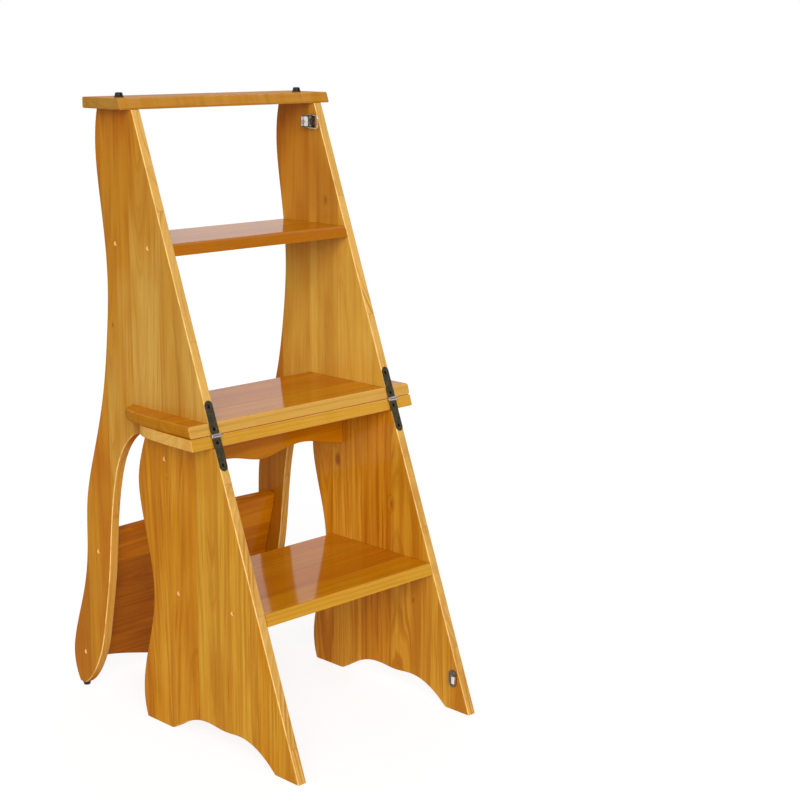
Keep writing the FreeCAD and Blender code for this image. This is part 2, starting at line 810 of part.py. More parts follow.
def on_upper_panel(shape):
    return moved(shape, inner_half, 0, latch_height)


def on_lower_panel(shape):
    """Puts a piece where the latch line comes when the upper half has turned over."""
    shape = shape.copy()
    shape.rotate(Vector(0, 0, 0), Vector(1, 0, 0), 180)
    return moved(shape, inner_half, 0, total_height - latch_height)


# Assembly

lower_step_fixing_pairs = [(y, lower_step_height - step_thickness / 2.0) for y in lower_step_fixings]
upper_step_fixing_pairs = [(y, upper_step_height - step_thickness / 2.0) for y in upper_step_fixings]
apron_fixing_pairs = [(apron_depth + apron_thickness / 2.0, seat_height - apron_fixing_drop)]
backrest_fixing_pairs = list(backrest_line())
lower_dowel_base = seat_under + dowel_in_board - dowel_length
upper_dowel_base = seat_over - dowel_in_board
top_dowel_base = top_under + dowel_in_board - dowel_length

lower_leaf_cuts = on_hinges([leaf_pocket(-1)] + leaf_screws(-1, screw_clearance))
upper_leaf_cuts = on_hinges([leaf_pocket(1)] + leaf_screws(1, screw_clearance))
lower_step_holes = at_fixings(fixing_hole(), lower_step_fixing_pairs)
upper_step_holes = at_fixings(fixing_hole(), upper_step_fixing_pairs)
apron_holes = at_fixings(fixing_hole(), apron_fixing_pairs)
backrest_holes = at_fixings(fixing_hole(), backrest_fixing_pairs)
lower_dowel_holes = at_dowels(dowel_hole(lower_dowel_base), seat_dowel_depths)
upper_dowel_holes = at_dowels(dowel_hole(upper_dowel_base), seat_dowel_depths)
top_dowel_holes = at_dowels(dowel_hole(top_dowel_base), top_dowel_depths)
strike_bores = [on_lower_panel(s) for s in strike_screws(screw_clearance)]
latch_bores = [on_upper_panel(s) for s in latch_screws(screw_clearance)]
lower_panel_cuts = lower_leaf_cuts + lower_step_holes + apron_holes + lower_dowel_holes
upper_panel_cuts = (upper_leaf_cuts + upper_step_holes + backrest_holes + upper_dowel_holes
                    + top_dowel_holes)

left_lower, left_upper = lower_panel(), upper_panel()
lower_leaves = on_hinges([hinge_leaf(-1)])
upper_leaves = on_hinges([hinge_leaf(1)])

nodes = {
    "lower_panel_left": [bored(left_lower, lower_panel_cuts)],
    "lower_panel_right": [bored(mirrored(left_lower), lower_panel_cuts + strike_bores)],
    "lower_step": [bored(tread(lower_step_height, waist[0] - lower_step_inset, lower_step_nosing),
                         lower_step_holes)],
    "lower_seat_board": [bored(seat_board(lower_seat_depth, lower_seat_corner, seat_under,
                                          lower_seat_under_round, lower_seat_seam_round),
                               lower_leaf_cuts + lower_dowel_holes)],
    "seat_apron": [bored(apron(), apron_holes)],
    "lower_seat_dowels": at_dowels(dowel(lower_dowel_base), seat_dowel_depths),
    "lower_step_screws": at_fixings(panel_screw(), lower_step_fixing_pairs),
    "lower_step_plugs": at_fixings(plug(), lower_step_fixing_pairs),
    "apron_screws": at_fixings(panel_screw(), apron_fixing_pairs),
    "apron_plugs": at_fixings(plug(), apron_fixing_pairs),
    "hinge_lower_leaf_left": [lower_leaves[0]],
    "hinge_lower_leaf_right": [lower_leaves[1]],
    "hinge_pins": on_hinges([hinge_pin()]),
    "hinge_lower_screws": on_hinges(leaf_screws(-1)),
    "latch_strike": [on_lower_panel(strike())],
    "latch_strike_screws": [on_lower_panel(s) for s in strike_screws()],
    "upper_panel_left": [bored(left_upper, upper_panel_cuts)],
    "upper_panel_right": [bored(mirrored(left_upper), upper_panel_cuts + latch_bores)],
    "upper_seat_board": [bored(seat_board(upper_seat_depth, upper_seat_corner, upper_seat_under,
                                          upper_seat_seam_round, upper_seat_top_round),
                               upper_leaf_cuts + upper_dowel_holes)],
    "upper_step": [bored(tread(upper_step_height, back_waist_above_seat[0] + upper_step_past_waist,
                               upper_step_nosing), upper_step_holes)],
    "top_board": [bored(top_board(), top_dowel_holes)],
    "backrest": [bored(backrest(), backrest_holes)],
    "upper_seat_dowels": at_dowels(dowel(upper_dowel_base), seat_dowel_depths),
    "top_board_dowels": at_dowels(dowel(top_dowel_base), top_dowel_depths),
    "upper_step_screws": at_fixings(panel_screw(), upper_step_fixing_pairs),
    "upper_step_plugs": at_fixings(plug(), upper_step_fixing_pairs),
    "backrest_screws": at_fixings(panel_screw(), backrest_fixing_pairs),
    "backrest_plugs": at_fixings(plug(), backrest_fixing_pairs),
    "top_bumpers": top_bumpers(),
    "post_bumpers": post_bumpers(),
    "hinge_upper_leaf_left": [upper_leaves[0]],
    "hinge_upper_leaf_right": [upper_leaves[1]],
    "hinge_upper_screws": on_hinges(leaf_screws(1)),
    "latch_plate": [on_upper_panel(latch_plate())],
    "latch_plate_screws": [on_upper_panel(s) for s in latch_screws()],
    "latch_rivets": [on_upper_panel(r) for r in latch_rivets()],
    "latch_lever": [on_upper_panel(latch_lever())],
    "latch_bail": [on_upper_panel(latch_bail())],
}

# The origin goes to the floor under the middle of the whole.
foremost = nodes["lower_panel_left"][0].optimalBoundingBox(False, False).YMin
hindmost = nodes["upper_panel_left"][0].optimalBoundingBox(False, False).YMax
shift = -(foremost + hindmost) / 2.0

os.makedirs("parts", exist_ok=True)
for name, solids in nodes.items():
    placed = [moved(solid, 0, shift, 0) for solid in solids]
    shape = placed[0] if len(placed) == 1 else Part.makeCompound(placed)
    shape.exportStep("parts/" + name + ".step")
    state = "valid" if shape.isValid() else "NOT VALID"
    print(name, len(shape.Solids), state, round(sum(s.Volume for s in placed), 1))

print("hinge line", round(shift, 4), seat_height)
print("lever pivot", round(inner_half + pivot.x, 4), round(pivot.y + shift, 4), latch_height)
print("bail pivot", round(inner_half + bail_pivot.x, 4), round(bail_pivot.y + shift, 4), latch_height)
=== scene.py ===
import math
from types import SimpleNamespace

import bmesh
import bpy
from mathutils import Matrix, Vector


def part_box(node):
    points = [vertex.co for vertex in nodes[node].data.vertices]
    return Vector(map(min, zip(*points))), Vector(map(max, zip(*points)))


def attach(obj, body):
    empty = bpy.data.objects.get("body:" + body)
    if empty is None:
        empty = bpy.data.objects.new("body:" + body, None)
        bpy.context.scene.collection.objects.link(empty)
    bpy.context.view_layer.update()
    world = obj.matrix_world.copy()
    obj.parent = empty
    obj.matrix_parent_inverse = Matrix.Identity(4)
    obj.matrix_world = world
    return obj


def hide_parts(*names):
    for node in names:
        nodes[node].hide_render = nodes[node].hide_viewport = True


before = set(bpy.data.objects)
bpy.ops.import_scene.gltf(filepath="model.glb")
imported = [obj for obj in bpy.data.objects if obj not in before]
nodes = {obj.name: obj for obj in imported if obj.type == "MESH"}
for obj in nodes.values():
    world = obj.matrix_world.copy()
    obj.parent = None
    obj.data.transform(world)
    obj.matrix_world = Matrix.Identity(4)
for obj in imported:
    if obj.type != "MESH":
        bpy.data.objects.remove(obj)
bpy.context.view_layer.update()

# A folding step stool chair in lacquered pine, standing as a ladder. Metres, in the frame of the CAD.

# Camera, as found by fitting the photograph
camera_place = Vector((-1.5478, -1.8158, 0.9846))
camera_azimuth = math.radians(-45.10)
camera_elevation = math.radians(12.44)
camera_roll = math.radians(0.18)
camera_lens = 75.45
sensor_width = 36.0

# Two wide suns and a sky. A sun of strength pi shows a surface that faces it in the colour as written.
key_strength = 2.50
key_direction = Vector((0.57, 0.70, -0.42))
key_spread = math.radians(45.0)
fill_strength = 1.10
fill_direction = Vector((-0.69, -0.69, -0.20))
fill_spread = math.radians(40.0)
sky_strength = 0.40
gloss_dimming = 0.75
dimmed_from = -0.15
dimmed_to = -0.60
white = (1.0, 1.0, 1.0, 1.0)

# Floor: its reach and height, its grey for light that bounces, and its grey and glow where it is seen
floor_reach = 8.0
floor_height = -0.0003
floor_grey = 0.85
floor_shade = 0.22
floor_glow = 0.85

# Wood colours, linear. A face has a pale, a middle and a deep one.
outer_panel = ((0.61, 0.345, 0.062), (0.54, 0.232, 0.012), (0.46, 0.145, 0.003))
lower_outer_panel = ((0.68, 0.350, 0.030), (0.60, 0.240, 0.006), (0.50, 0.150, 0.001))
upper_inner_panel = ((0.72, 0.42, 0.060), (0.58, 0.260, 0.020), (0.46, 0.150, 0.003))
lower_inner_panel = ((0.74, 0.38, 0.040), (0.69, 0.330, 0.024), (0.66, 0.270, 0.014))
tawny = ((0.64, 0.250, 0.004), (0.60, 0.210, 0.003), (0.55, 0.170, 0.002))
brown = ((0.60, 0.225, 0.004), (0.56, 0.190, 0.003), (0.50, 0.150, 0.002))
mahogany = ((0.77, 0.290, 0.005), (0.59, 0.190, 0.002), (0.41, 0.120, 0.001))

# Colours of front edges and ends, of worn arrises with a painted highlight and of knots, and the factor
# that growth lines have
russet = (0.57, 0.175, 0.002)
honey = (0.59, 0.290, 0.022)
straw = (0.63, 0.335, 0.055)
amber = (0.46, 0.175, 0.003)
nosing = (0.42, 0.130, 0.001)
cream = (0.71, 0.41, 0.105)
drab = (0.45, 0.225, 0.042)
pallor = (0.72, 0.40, 0.09)
arris_wear_and_highlight = (0.92, 0.62, 0.24)
knot_brown = (0.23, 0.050, 0.003)
line_factor = (0.72, 0.55, 0.30)

# Strips and rings. Chance puts the pith to either side of a strip's middle and out of the board.
strip_width = 0.064
ring_spacing = 0.0058
pith_aside = 0.10
pith_out = 0.016
pith_further = 0.06
ring_tilt = 0.07
ring_sway = 0.016
ring_waver = 0.0042
year_profile = [(0.0, 0.0), (0.30, 0.05), (0.80, 0.85), (0.90, 0.7), (1.0, 0.0)]
vigour_power = 1.7
fine_rings = 3.1
fine_strength = 0.10

# Rates of the noise in the wood, a metre: along the grain, and then across it or across the rings
sway_rate = 2.0
waver_rates = (9.0, 40.0)
faint_rates = (6.0, 30.0)
cloud_rates = (5.0, 13.0)
streak_rates = (1.7, 55.0)
hair_rates = (5.0, 420.0)
fibre_rates = (22.0, 700.0)
chafe_rate = 45.0

# What that noise turns into: from two of its values to two strengths, tones or shades
faint_range = (0.35, 0.62, 0.30, 1.0)
cloud_range = (0.35, 0.70, -0.20, 0.25)
streak_range = (0.40, 0.75, 0.0, 0.75)
hair_range = (0.48, 0.70, 0.0, 0.75)
fibre_range = (0.3, 0.7, 0.95, 1.04)
strip_range = (0.0, 1.0, 0.96, 1.03)
chafe_range = (0.35, 0.60)
least_chafed = 0.35

# Factors and steps that give each board and strip its own part of the noise
strip_draw = 17.3
year_draw = 5.1
strip_stride = 3.7
sway_stride = 1.9
faint_step = 3.0
streak_step = 7.0
hair_step = 9.0
chafe_step = 11.0

# Knots: width to length, raggedness, and where swirl and colour begin and are full, in radii
knot_squash = 0.5
knot_ragged = 0.35
swirl_reach = (3.6, 0.8)
swirl_pull = 3.0
knot_edge = (1.9, 0.7)

# Where masks begin and are full, by how far a surface faces forwards, endways, out of the board or up
front_turn = (0.35, 0.75)
end_turn = (0.45, 0.80)
arris_inside = (0.22, 0.50)
arris_outside = (0.97, 0.80)
arris_front = (0.10, 0.40)
level_turn = (0.8, 0.95)

# A post's front edge, further back than a panel's, takes on some of the face's middle colour
post_edge = (0.06, 0.12, 0.0, 0.6)

# Most boards have no painted shading along the grain
no_rise = (-1.0, 1.0, 0.0)

# Growth lines on front edges and ends, seams, painted shade in the creases where panels meet boards,
# relief and lacquer
front_lines = 0.9
front_thin = 0.45
end_faint = 0.6
seam_width = 0.0007
seam_shade = 0.86
crease_reach = (0.0018, 0.0003)
crease_shade = 0.45
late_relief = 0.6
ripple_rate = 70.0
end_dull = 0.85

# Plugs and dowels. The painted shade in a plug's dish ends between two depths under the panel's face.
plug_pale = (0.90, 0.54, 0.22)
plug_tan = (0.72, 0.36, 0.11)
plug_painted_shade = (0.34, 0.12, 0.025)
speck_rate = 1500.0
speck_range = (0.35, 0.7)
painted_shade_depths = (0.0030, 0.0021)
beech = (0.72, 0.50, 0.28)
beech_fleck = (0.50, 0.31, 0.15)
fleck_rate = 1800.0
fleck_stretch = (1.0, 1.0, 0.08)

# Metal and rubber. A reach is where a mask begins and where it is full.
mottle_range = (0.42, 0.68)
scratch_rate = 260.0
scratch_stretch = (1.0, 14.0, 1.0)
scratch_range = (0.3, 0.7)
least_rough = 0.8
most_rough = 1.25
knuckle_reach = (0.0044, 0.0032)
knuckle_ragged = 0.0012
hook_reach = (0.0004, 0.0012)
flange_reach = (0.0066, 0.0074)
# Nickel painted dark as shade, for the latch's plate, the strike's plate and their screws
dark_nickel = (0.12, 0.10, 0.085)
rubber_black = (0.006, 0.006, 0.007)
rubber_grey = (0.014, 0.014, 0.015)
grit_rate = 2200.0
grit_range = (0.3, 0.7)
grit_rough = (0.32, 0.48)

# Places and sizes of the fittings, as in the CAD. Depths count from the hinge line.
origin_shift = -0.0909554
hinge_height = 0.450
total_height = 0.900
slope_run = 0.168
lean = math.atan(slope_run / hinge_height)
panel_face = 0.1745
inner_face = 0.160
panel_middle = 0.16725
leaf_screw_face = 0.0005
leaf_screw_places = (0.0095, 0.0405)
latch_height = 0.851
plate_face = 0.1588
latch_screw_depths = (0.1666, 0.1746)
strike_screw_depth = 0.1352
strike_screw_spread = 0.0092
top_foot = (0.163, 0.203, 0.8935)
post_foot = (0.16725, 0.329, 0.0065)
plug_places = {"lower_step_plugs": ((0.083, 0.208), (-0.035, 0.208)),
               "upper_step_plugs": ((0.2067, 0.692), (0.132, 0.692)),
               "apron_plugs": ((0.108, 0.399),),
               "backrest_plugs": ((0.3186, 0.0575), (0.2756, 0.2266))}
sides = (-1.0, 1.0)

# Outlines of the turned fittings: radius and height of each corner, from the axis and back to it
leaf_screw_outline = [(0.0, 0.0), (0.0024, 0.0), (0.0029, -0.0003), (0.0015, -0.0016),
                      (0.0015, -0.009), (0.0, -0.011)]
latch_screw_outline = [(0.0, 0.0009), (0.0007, 0.00082), (0.0013, 0.00056), (0.0018, 0.0002),
                       (0.0020, 0.0), (0.0011, 0.0), (0.0011, -0.0069), (0.0, -0.008)]
foot_outline = [(0.0, 0.0), (0.0068, 0.0), (0.0068, 0.0007), (0.00645, 0.0011), (0.0061, 0.0016),
                (0.0051, 0.0053), (0.0048, 0.0061), (0.0042, 0.0065), (0.0031, 0.0065),
                (0.0027, 0.0061), (0.0026, 0.0026), (0.0, 0.0026)]
foot_screw_outline = [(0.0, 0.0040), (0.0009, 0.0039), (0.0017, 0.0036), (0.0023, 0.0030),
                      (0.0024, 0.0026), (0.0, 0.0026)]
plug_outline = [(0.0, -0.0034), (0.0012, -0.0032), (0.0022, -0.0024), (0.0029, -0.0012),
                (0.0035, -0.0006), (0.0035, -0.0043), (0.0, -0.0043)]

# How finely outlines are turned, how far a cross recess narrows at its foot, and which edges are sharp
turned_segments = 40
foot_segments = 48
cross_taper = (0.45, 0.8)
sharp_angle = math.radians(32.0)


# Node helpers


def node(tree, kind, inputs=None, **settings):
    """Adds a node. Each input is a value, or the output socket that feeds it."""
    made = tree.nodes.new(kind)
    for key, value in settings.items():
        setattr(made, key, value)
    for key, value in (inputs or {}).items():
        if isinstance(value, bpy.types.NodeSocket):
            tree.links.new(value, made.inputs[key])
        else:
            made.inputs[key].default_value = value
    return made


def calc(tree, operation, a, b=0.0, clamp=False):
    return node(tree, "ShaderNodeMath", {0: a, 1: b}, operation=operation, use_clamp=clamp).outputs[0]


def plus(tree, a, b, clamp=False):
    return calc(tree, "ADD", a, b, clamp)


def minus(tree, a, b):
    return calc(tree, "SUBTRACT", a, b)


def times(tree, a, b, clamp=False):
    return calc(tree, "MULTIPLY", a, b, clamp)


def absolute(tree, a):
    return calc(tree, "ABSOLUTE", a)


def hypotenuse(tree, a, b):
    """The long side of a right triangle."""
    return calc(tree, "SQRT", plus(tree, calc(tree, "POWER", a, 2.0), calc(tree, "POWER", b, 2.0)))


def vector(tree, x, y, z):
    return node(tree, "ShaderNodeCombineXYZ", {0: x, 1: y, 2: z}).outputs[0]


def parted(tree, whole):
    """The X, Y and Z of a vector."""
    return node(tree, "ShaderNodeSeparateXYZ", {0: whole}).outputs


def object_place(tree):
    """Place in the CAD's frame at rest, so that a pattern moves with its body."""
    return node(tree, "ShaderNodeTexCoord").outputs["Object"]


def noise(tree, place, scale, detail=2.0, roughness=0.5):
    made = node(tree, "ShaderNodeTexNoise", {"Vector": place, "Scale": scale, "Detail": detail,
                                             "Roughness": roughness})
    return made.outputs["Fac"]


def stretched(tree, place, scale):
    """Place with each axis times a factor, so that noise is drawn out along the smallest."""
    return node(tree, "ShaderNodeMapping", {"Vector": place, "Scale": scale}).outputs[0]


def draw(tree, number, offset):
    """Chance of a number, such as a strip's or a year's, with an offset for the board."""
    return node(tree, "ShaderNodeTexWhiteNoise", {"W": plus(tree, number, offset)},
                noise_dimensions="1D").outputs


def remap(tree, value, low, high, to_low=0.0, to_high=1.0):
    """Takes a value smoothly from one range to another, and holds it at both ends."""
    made = node(tree, "ShaderNodeMapRange", {"Value": value, "From Min": low, "From Max": high,
                                             "To Min": to_low, "To Max": to_high},
                interpolation_type="SMOOTHSTEP")
    return made.outputs["Result"]


def ramp(tree, value, stops, interpolation="LINEAR"):
    """Ramp through (place, grey or colour) stops."""
    made = node(tree, "ShaderNodeValToRGB", {"Fac": value})
    made.color_ramp.interpolation = interpolation
    elements = made.color_ramp.elements
    while len(elements) < len(stops):
        elements.new(0.5)
    for element, (place, colour) in zip(elements, stops):
        element.position = place
        element.color = (*colour, 1.0) if isinstance(colour, tuple) else (colour, colour, colour, 1.0)
    return made.outputs["Color"]


def mix(tree, share, a, b, blend="MIX"):
    """Mixes two colours, each a triple or a socket."""
    made = node(tree, "ShaderNodeMix", {0: share}, data_type="RGBA", blend_type=blend)
    for key, value in ((6, a), (7, b)):
        if isinstance(value, bpy.types.NodeSocket):
            tree.links.new(value, made.inputs[key])
        else:
            made.inputs[key].default_value = (*value, 1.0)
    return made.outputs[2]


def bump(tree, height, strength, distance):
    made = node(tree, "ShaderNodeBump", {"Height": height, "Strength": strength, "Distance": distance})
    return made.outputs["Normal"]


def new_material(name):
    """A material with one Principled shader, and its tree and shader."""
    material = bpy.data.materials.new(name)
    material.use_nodes = True
    return material, material.node_tree, material.node_tree.nodes["Principled BSDF"]


def feed(tree, shader, **sockets):
    """Sets or links sockets of a shader, named with an underscore for each space."""
    for key, value in sockets.items():
        socket = shader.inputs[key.replace("_", " ")]
        if isinstance(value, bpy.types.NodeSocket):
            tree.links.new(value, socket)
        elif isinstance(value, tuple):
            socket.default_value = (*value, 1.0)
        else:
            socket.default_value = value


def dress(material, *names):
    """Gives CAD nodes a material."""
    for name in names:
        for slot in nodes[name].material_slots:
            slot.material = material


# Wood


def in_wood(tree, part, grain, seam, seed):
    """Where a point lies in a board, and what chance gives to its glued strip.

    Length and depth count from the board's middle, along the grain and through the board. Breadth
    counts across the grain from a seam, and in_strip goes from 0 to 1 over a strip.
    """
    along, across, through = grain
    low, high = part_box(part)
    middle = (low + high) / 2.0
    source = node(tree, "ShaderNodeTexCoord").outputs
    place = parted(tree, source["Object"])
    facing = parted(tree, source["Normal"])
    breadth = minus(tree, place[across], seam)
    strips = calc(tree, "DIVIDE", breadth, strip_width)
    strip = calc(tree, "FLOOR", strips)
    chance = draw(tree, strip, strip_draw * seed)["Color"]
    return SimpleNamespace(
        point=source["Object"], place=place, facing=facing, forward=times(tree, facing["Y"], -1.0),
        along=place[along], across=place[across],
        length=minus(tree, place[along], middle["XYZ".index(along)]),
        depth=minus(tree, place[through], middle["XYZ".index(through)]),
        breadth=breadth, strip=strip, in_strip=minus(tree, strips, strip),
        own=times(tree, strip, strip_stride),
        chances=node(tree, "ShaderNodeSeparateColor", {0: chance}).outputs)


def grained(tree, at, breadth, rates, third, detail=2.0, roughness=0.5):
    """Noise drawn out along the grain, which changes at its rates along and across it."""
    place = vector(tree, times(tree, at.length, rates[0]), times(tree, breadth, rates[1]), third)
    return noise(tree, place, 1.0, detail, roughness)


def growth_rings(tree, at, seed, knots):
    """Distance from the pith, share of late wood and share of knot at each point."""
    # Distance from the pith, which sways and tilts along the strip
    swaying = vector(tree, times(tree, at.length, sway_rate), at.own, sway_stride * seed)
    sway = noise(tree, swaying, 1.0, detail=1.0)
    waver = grained(tree, at, at.breadth, waver_rates, times(tree, at.depth, waver_rates[1]))
    pith_across = times(tree, minus(tree, at.chances[0], 0.5), pith_aside)
    pith_through = plus(tree, times(tree, at.chances[1], pith_further), pith_out)
    from_middle = times(tree, minus(tree, at.in_strip, 0.5), strip_width)
    radius = hypotenuse(tree, minus(tree, from_middle, pith_across), minus(tree, at.depth, pith_through))
    radius = plus(tree, radius, times(tree, sway, ring_sway))
    radius = plus(tree, radius, times(tree, waver, ring_waver))
    tilt = times(tree, minus(tree, at.chances[1], 0.5), ring_tilt)
    radius = plus(tree, radius, times(tree, at.length, tilt))

    # Knots, with rings that swirl round them
    knotted = 0.0
    swirl_from, swirl_to = swirl_reach
    edge_from, edge_to = knot_edge
    for along, across, size, strength in knots:
        off_along = times(tree, minus(tree, at.along, along), knot_squash)
        apart = hypotenuse(tree, off_along, minus(tree, at.across, across))
        apart = plus(tree, apart, times(tree, waver, knot_ragged * size))
        swirl = remap(tree, apart, swirl_from * size, swirl_to * size, 0.0, swirl_pull * size)
        radius = plus(tree, radius, swirl)
        knot = remap(tree, apart, edge_from * size, edge_to * size, 0.0, strength)
        knotted = calc(tree, "MAXIMUM", knotted, knot)

    # Late wood at the end of each year, stronger in some years and places than in others
    phase = calc(tree, "DIVIDE", radius, ring_spacing)
    year = calc(tree, "FLOOR", phase)
    late = ramp(tree, minus(tree, phase, year), year_profile)
    vigour = draw(tree, year, year_draw * seed)["Value"]
    late = times(tree, late, calc(tree, "POWER", vigour, vigour_power))
    fine = calc(tree, "FRACT", times(tree, phase, fine_rings))
    late = plus(tree, late, times(tree, fine, fine_strength))
    faint = grained(tree, at, at.breadth, faint_rates, plus(tree, at.own, seed + faint_step), detail=1.0)
    late = times(tree, late, remap(tree, faint, *faint_range))
    return radius, late, knotted


def face_colour(tree, at, tones, seed, face, rise):
    """Colour of the face by the tone of each strip, by clouds and by the painted shading of the rise."""
    count = len(tones)
    counter = calc(tree, "DIVIDE", plus(tree, at.strip, count / 2.0 + 0.5), float(count))
    tone = ramp(tree, counter, [(n / count, tone) for n, tone in enumerate(tones)], "CONSTANT")
    cloud = grained(tree, at, at.breadth, cloud_rates, plus(tree, at.own, seed))
    deep = plus(tree, tone, remap(tree, cloud, *cloud_range))
    rise_from, rise_to, growth = rise
    # Painted shading along the grain, by the rise.
    deep = plus(tree, deep, remap(tree, at.along, rise_from, rise_to, 0.0, growth), clamp=True)
    return ramp(tree, deep, list(zip((0.0, 0.5, 1.0), face)))


def crease(tree, at, meets):
    """1 less the painted shade in the narrow gap where a board meets the panels."""
    from_panel = absolute(tree, minus(tree, absolute(tree, at.place["X"]), inner_face))
    dark = remap(tree, from_panel, *crease_reach, 0.0, 1.0 - crease_shade)
    if meets:
        dark = times(tree, dark, remap(tree, times(tree, at.facing["Z"], meets), *level_turn))
    return minus(tree, 1.0, dark)


def shading(tree, at, along, fibre, meets):
    """Shade of each strip by chance, of the fibres and of the seams, and the painted shade of the creases
    at the panels.
    """
    shade = times(tree, remap(tree, at.chances[2], *strip_range), remap(tree, fibre, *fibre_range))
    from_seam = calc(tree, "MINIMUM", at.in_strip, minus(tree, 1.0, at.in_strip))
    shade = times(tree, shade, remap(tree, from_seam, 0.0, seam_width / strip_width, seam_shade, 1.0))
    # Painted shade: a dark line where the board meets the panels' inner faces.
    if along == "X":
        shade = times(tree, shade, crease(tree, at, meets))
    return vector(tree, shade, shade, shade)


def worn_and_highlit_arrises(tree, at, through, seed, worn):
    """Share of worn wood and painted highlight on the arrises in front, chafed unevenly."""
    flat = absolute(tree, at.facing[through])
    arris = times(tree, remap(tree, flat, *arris_inside), remap(tree, flat, *arris_outside))
    arris = times(tree, arris, remap(tree, at.forward, *arris_front))
    chafing = vector(tree, times(tree, at.length, chafe_rate), at.own, seed + chafe_step)
    chafed = noise(tree, chafing, 1.0, roughness=0.6)
    return times(tree, arris, remap(tree, chafed, *chafe_range, least_chafed * worn, worn))


def wood(part, grain, seam, tones, seed, face, front, end, coat, lines, worn=0.0, rise=no_rise, knots=(),
         meets=0.0):
    """Lacquered pine of glued strips, for one board.

    The growth rings are cylinders about a pith that each strip places by chance, so faces show long
    lines and tall arches, and ends show arcs.

    grain: the axes along the grain, across it and through the board
    seam: a place across the grain where two strips meet
    tones: the strips' tones, half of them before the seam, from 0 for the face's pale colour to 1 for
        its deep one
    seed: a number of the board's own, for chance
    face, front, end: colours of the face, of edges that face forwards, and of the end grain
    coat: strength of the lacquer's gloss
    lines: strength of the growth lines
    worn: strength of the wear and painted highlight along the front's arrises
    rise: painted shading: from the first to the second place along the grain, the tone grows by the third
    number, which darkens the face, and a negative number pales it
    knots: the places of each along and across the grain, its radius and its strength
    meets: 1 or -1 for a level board that panels meet on its upper or its under face alone, else 0; the
    painted crease shade goes on that face
    """
    material, tree, shader = new_material("wood_" + part)
    along, _, through = grain
    at = in_wood(tree, part, grain, seam, seed)
    radius, late, knotted = growth_rings(tree, at, seed, knots)
    fibre = grained(tree, at, at.breadth, fibre_rates, times(tree, at.depth, fibre_rates[1]),
                    roughness=0.6)
    streaks = grained(tree, at, at.breadth, streak_rates, plus(tree, at.own, seed + streak_step),
                      detail=3.0, roughness=0.6)
    hairs = grained(tree, at, radius, hair_rates, plus(tree, at.own, seed + hair_step), roughness=0.7)

    # Plain colour of the face, of the edges in front and of the end grain
    in_front = remap(tree, at.forward, *front_turn) if through != "Y" else 0.0
    on_end = remap(tree, absolute(tree, at.facing[along]), *end_turn)
    if through == "X":
        front = mix(tree, remap(tree, at.place["Y"], *post_edge), front, face[1])
    plain = mix(tree, in_front, face_colour(tree, at, tones, seed, face, rise), front)
    plain = mix(tree, on_end, plain, end)

    # Late wood, streaks and hairs drawn over it, then knots, shade with the painted shade of creases, and
    # wear with a painted highlight
    line = mix(tree, 1.0, plain, line_factor, "MULTIPLY")
    strong = minus(tree, lines, times(tree, on_end, end_faint * lines))
    if through == "X":
        strong = plus(tree, strong, times(tree, in_front, front_lines))
    late = times(tree, late, strong, clamp=True)
    colour = mix(tree, late, plain, line)
    thin = minus(tree, lines, times(tree, in_front, front_thin))
    colour = mix(tree, times(tree, remap(tree, streaks, *streak_range), thin), colour, line)
    colour = mix(tree, times(tree, remap(tree, hairs, *hair_range), thin), colour, line)
    if knots:
        colour = mix(tree, knotted, colour, knot_brown)
    colour = mix(tree, 1.0, colour, shading(tree, at, along, fibre, meets), "MULTIPLY")
    # Wear and painted highlight: the forward arrises are lightened to cream.
    colour = mix(tree, worn_and_highlit_arrises(tree, at, through, seed, worn), colour, arris_wear_and_highlight)

    # Relief under the lacquer, and a ripple in it
    relief = plus(tree, fibre, times(tree, late, late_relief))
    ripple = noise(tree, at.point, ripple_rate, detail=1.0)
    feed(tree, shader, Base_Color=colour, Roughness=0.5, Specular_IOR_Level=0.0,
         Normal=bump(tree, relief, strength=0.12, distance=0.0002), Coat_Roughness=0.09, Coat_IOR=1.5,
         Coat_Weight=minus(tree, coat, times(tree, on_end, end_dull * coat)),
         Coat_Normal=bump(tree, ripple, strength=0.06, distance=0.0006))
    return material


def plug_wood():
    """Plug of a pale wood, with painted shade where its face is dished deepest."""
    material, tree, shader = new_material("plug_wood")
    place = object_place(tree)
    specks = noise(tree, place, speck_rate, detail=3.0, roughness=0.7)
    outward = absolute(tree, parted(tree, place)["X"])
    # Painted shade: the plug's face is dark where the dish is deepest, and keeps its own colour towards
    # the rim.
    rim = remap(tree, outward, panel_face - painted_shade_depths[0], panel_face - painted_shade_depths[1])
    plug_colour = mix(tree, remap(tree, specks, *speck_range), plug_pale, plug_tan)
    feed(tree, shader, Base_Color=mix(tree, rim, plug_painted_shade, plug_colour), Roughness=0.6,
         Specular_IOR_Level=0.15, Normal=bump(tree, specks, strength=0.2, distance=0.0002))
    return material


def dowel_wood():
    """Plain beech with fine flecks along the dowel."""
    material, tree, shader = new_material("dowel_wood")
    place = stretched(tree, object_place(tree), fleck_stretch)
    flecks = noise(tree, place, fleck_rate, detail=3.0, roughness=0.7)
    feed(tree, shader, Base_Color=mix(tree, flecks, beech, beech_fleck), Roughness=0.65)
    return material


# Metal and rubber


def at_knuckles(tree, place, patches):
    """1 where the hinges' dark finish is rubbed off, unevenly, near the pins."""
    depth = minus(tree, place["Y"], origin_shift)
    height = minus(tree, place["Z"], hinge_height)
    from_pin = plus(tree, hypotenuse(tree, depth, height), times(tree, patches, knuckle_ragged))
    return remap(tree, from_pin, *knuckle_reach)


def off_plate(tree, place, patches):
    """1 on what stands out of the strike's plate, which is its hook."""
    return remap(tree, place["X"], plate_face - hook_reach[0], plate_face - hook_reach[1])


def at_flanges(tree, place, patches):
    """1 at the lever's two flanges, which are painted dark as shade."""
    return remap(tree, absolute(tree, minus(tree, place["Z"], latch_height)), *flange_reach)


